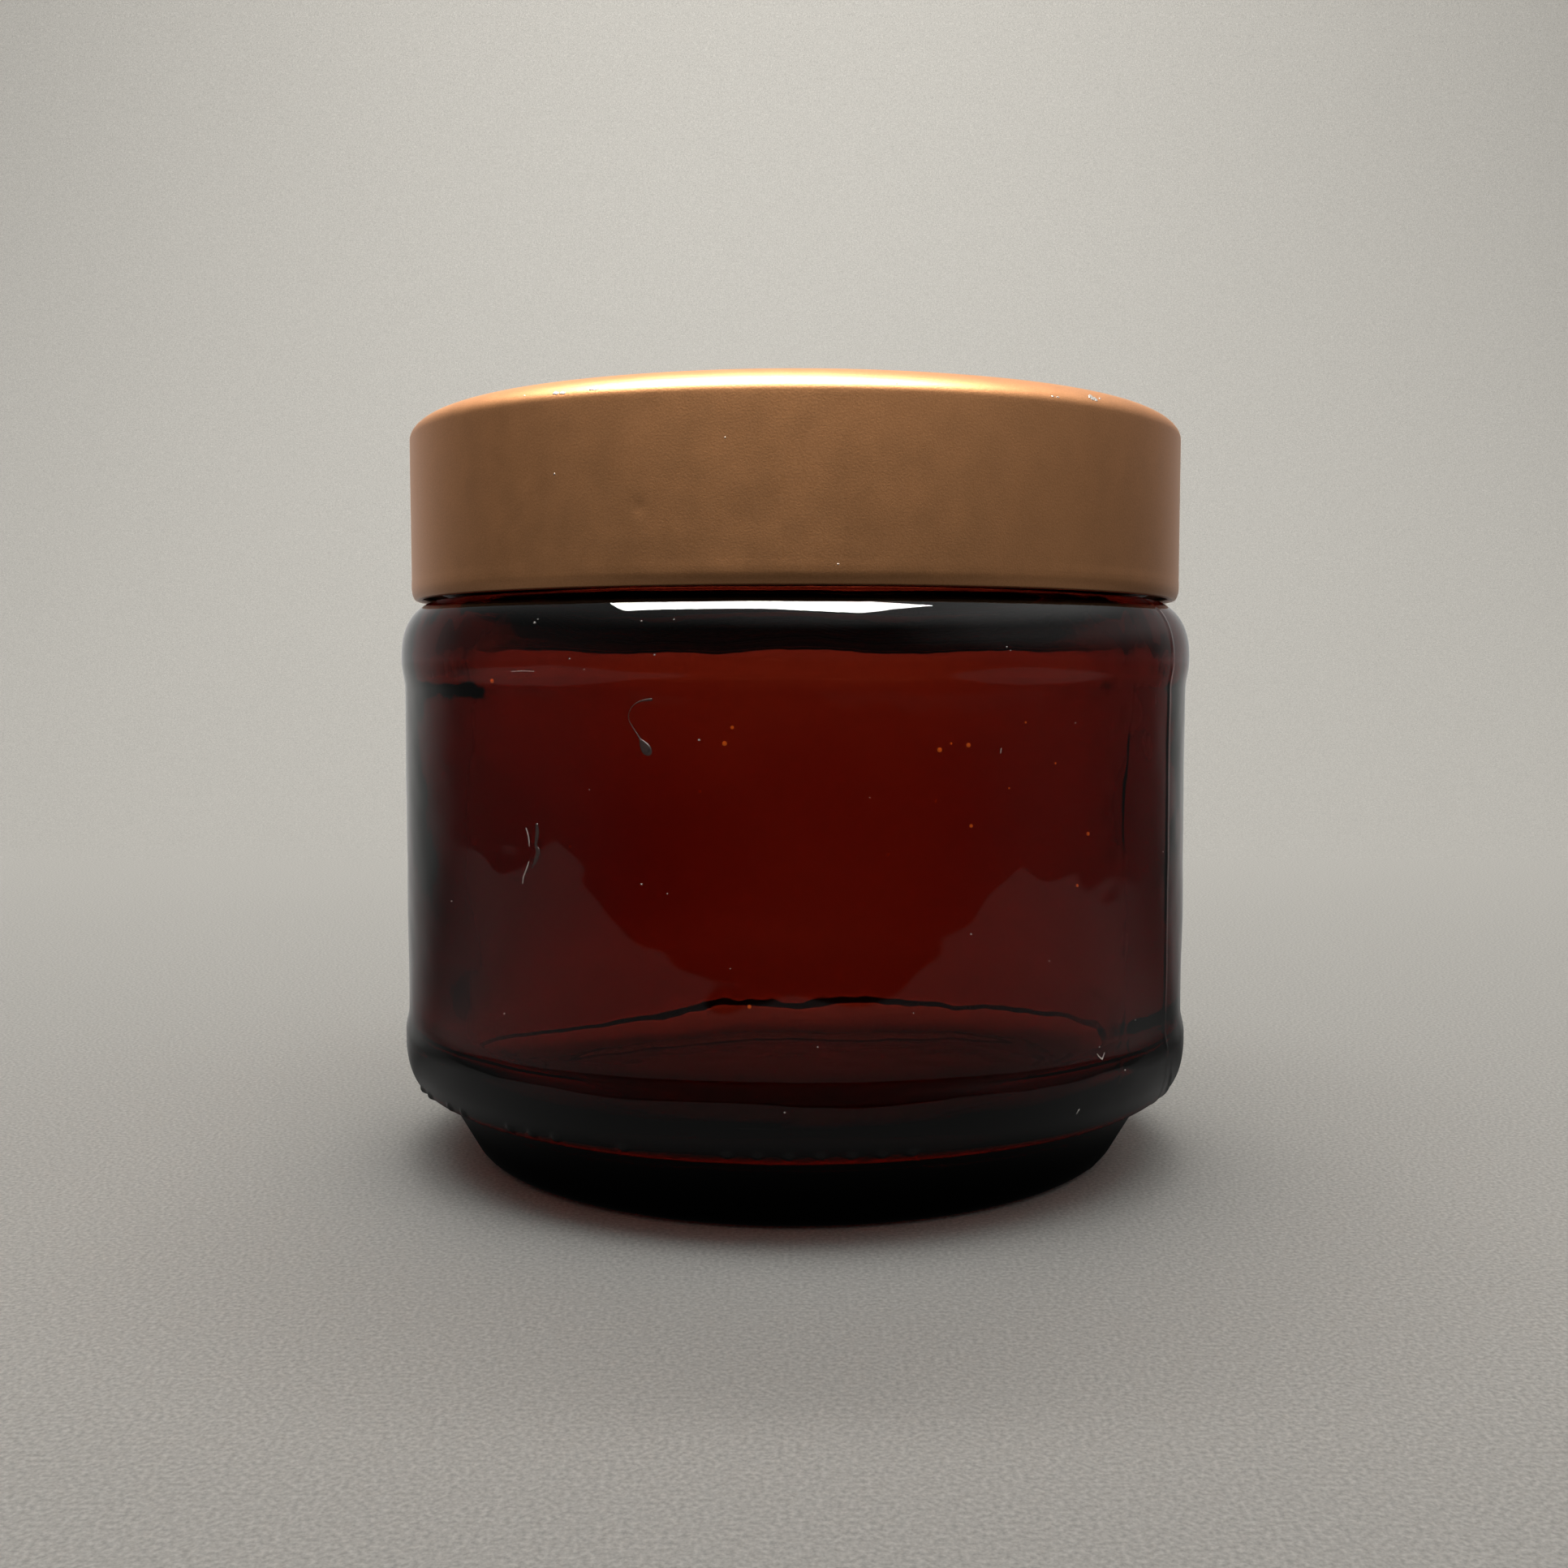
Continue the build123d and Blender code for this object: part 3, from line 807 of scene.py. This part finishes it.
def nmath(nt, op, *args):
    m = nt.nodes.new("ShaderNodeMath")
    m.operation = op
    for i, v in enumerate(args):
        if hasattr(v, "is_linked"):
            nt.links.new(v, m.inputs[i])
        else:
            m.inputs[i].default_value = v
    return m.outputs[0]


def back_glow(nt, yy, xx):
    """Brightness towards the back, from the backward part of a unit direction."""
    yy = nmath(nt, "SUBTRACT", yy, nmath(nt, "MULTIPLY", nmath(nt, "MAXIMUM", xx, 0.0), 0.22))
    t = mrange(nt, yy, BACK_FROM, 1.0, 0.0, 1.0, "LINEAR")
    return nmath(nt, "MULTIPLY", nmath(nt, "POWER", t, 1.45), BACK_GLOW)


# brightness levels of the painted floor reflection
DIM, BACK_GLOW, BACK_FROM = 0.05, 0.50, 0.28       # sides and low front; back; where the back begins
NEAR_FLOOR, NEAR_FRONT, NEAR_LEFT, NEAR_RIGHT = 0.105, 0.150, 0.34, 0.265
tc = en.nodes.new("ShaderNodeTexCoord")
sep = en.nodes.new("ShaderNodeSeparateXYZ")
en.links.new(tc.outputs["Object"], sep.inputs["Vector"])
px, py = sep.outputs["X"], sep.outputs["Y"]
rad = nmath(en, "SQRT", nmath(en, "ADD", nmath(en, "MULTIPLY", px, px), nmath(en, "MULTIPLY", py, py)))
rad = nmath(en, "MAXIMUM", rad, 0.001)
uy = nmath(en, "DIVIDE", py, rad)
# painted reflection of the near floor: a dim lit patch that ends in front of the jar and at both sides, with painted
# shade beyond it
wob = en.nodes.new("ShaderNodeTexNoise")
wob.inputs["Scale"].default_value = 14.0
en.links.new(tc.outputs["Object"], wob.inputs["Vector"])
wobble = nmath(en, "MULTIPLY", nmath(en, "SUBTRACT", wob.outputs["Fac"], 0.5), 0.03)
nearf = mrange(en, nmath(en, "ADD", py, wobble), -NEAR_FRONT - 0.004, -NEAR_FRONT + 0.004, 0.0, NEAR_FLOOR)
nearf = nmath(en, "MULTIPLY", nearf, mrange(en, nmath(en, "ADD", px, wobble), -NEAR_LEFT - 0.012, -NEAR_LEFT + 0.012, 0.0, 1.0))
nearf = nmath(en, "MULTIPLY", nearf, mrange(en, nmath(en, "ADD", px, wobble), NEAR_RIGHT - 0.012, NEAR_RIGHT + 0.012, 1.0, 0.0))
side = mrange(en, uy, -0.10, 0.45, 1.0, 0.0)
nearf = nmath(en, "MULTIPLY", nearf, side)
tot = nmath(en, "ADD", nmath(en, "ADD", nearf, mrange(en, uy, -0.92, -0.35, 0.006, DIM)), back_glow(en, uy, nmath(en, "DIVIDE", px, rad)))
# painted shadow: the floor's reflection goes dark round the jar's foot, from 34 mm out to 52 mm
tot = nmath(en, "MULTIPLY", tot, mrange(en, rad, 0.034, 0.052, 0.03, 1.0))
en.links.new(tot, ee.inputs["Strength"])
vv, ff = [], []
rr = [0.02, 0.2, 1.0, 6.0]
for r in rr:
    vv += [(r * math.cos(2 * math.pi * k / N), r * math.sin(2 * math.pi * k / N), -0.0002) for k in range(N)]
for i in range(len(rr) - 1):
    ff += [(i * N + k, (i + 1) * N + k, (i + 1) * N + (k + 1) % N, i * N + (k + 1) % N) for k in range(N)]
painted_reflection_sheet = sheet_mesh("painted_floor_reflection_sheet", vv, ff, em)
for k in ("visible_camera", "visible_diffuse", "visible_transmission", "visible_shadow"):
    setattr(painted_reflection_sheet, k, False)


# ------------------------------------------------------------------ lights
def area(name, loc, target, size, power, color=(1, 1, 1), size_y=None):
    d = bpy.data.lights.new(name, "AREA")
    d.energy = power
    d.color = color
    d.size = size
    if size_y is not None:
        d.shape = "RECTANGLE"
        d.size_y = size_y
    o = bpy.data.objects.new(name, d)
    scene.collection.objects.link(o)
    o.location = loc
    o.rotation_euler = (Vector(target) - Vector(loc)).to_track_quat("-Z", "Y").to_euler()
    return o


# sky of the room: dim in front and low down, brighter overhead and behind
SKY_LOW, SKY_TOP = 0.065, 0.36
LAMP_SOFT, LAMP_BRIGHT, LAMP_WALL = 1.5, 58.0, 5.4
world = bpy.data.worlds.new("world")
scene.world = world
world.use_nodes = True
wn = world.node_tree
bg = wn.nodes["Background"]
tc = wn.nodes.new("ShaderNodeTexCoord")
sep = wn.nodes.new("ShaderNodeSeparateXYZ")
wn.links.new(tc.outputs["Generated"], sep.inputs["Vector"])
low = mrange(wn, sep.outputs["Y"], -0.95, -0.3, 0.03, SKY_LOW)
lean = nmath(wn, "ADD", nmath(wn, "MULTIPLY", sep.outputs["X"], 0.9), 1.0)      # brighter to the right
up = nmath(wn, "ADD", low, nmath(wn, "MULTIPLY", lean, mrange(wn, sep.outputs["Z"], 0.42, 0.80, 0.0, SKY_TOP)))
glow = nmath(wn, "MULTIPLY", back_glow(wn, sep.outputs["Y"], sep.outputs["X"]), mrange(wn, sep.outputs["Z"], 0.08, 0.50, 1.0, 0.5))
side = nmath(wn, "MULTIPLY", mrange(wn, sep.outputs["X"], 0.35, 0.90, 0.0, 0.17), mrange(wn, sep.outputs["Z"], 0.06, 0.30, 0.0, 1.0))
wn.links.new(nmath(wn, "ADD", nmath(wn, "ADD", up, side), glow), bg.inputs["Strength"])
bg.inputs["Color"].default_value = (1.0, 0.99, 0.97, 1.0)

# one long ceiling panel over and in front of the jar; its soft share lights matt things, its bright share the gloss
for name, power, flags in (("panel_soft", LAMP_SOFT, ("visible_glossy", "visible_transmission")),
                           ("panel_bright", LAMP_BRIGHT, ("visible_diffuse",))):
    lift = 0.03 if name == "panel_soft" else 0.0
    lamp = area(name, (-0.13, -0.27, 1.15 + lift), (-0.13, -0.27, 0.0), 1.2, power, (1.0, 0.985, 0.95), size_y=0.55)
    lamp.rotation_euler = (0.0, 0.0, math.radians(-20.0))
    for k in flags:
        setattr(lamp, k, False)
wall_lamp = area("lamp_wall", (0.0, 0.33, 0.85), (0.0, 0.90, 0.40), 0.5, LAMP_WALL, (1.0, 0.985, 0.95), size_y=0.3)
wall_lamp.visible_glossy = False
wall_lamp.visible_transmission = False

scene.view_settings.view_transform = "Standard"
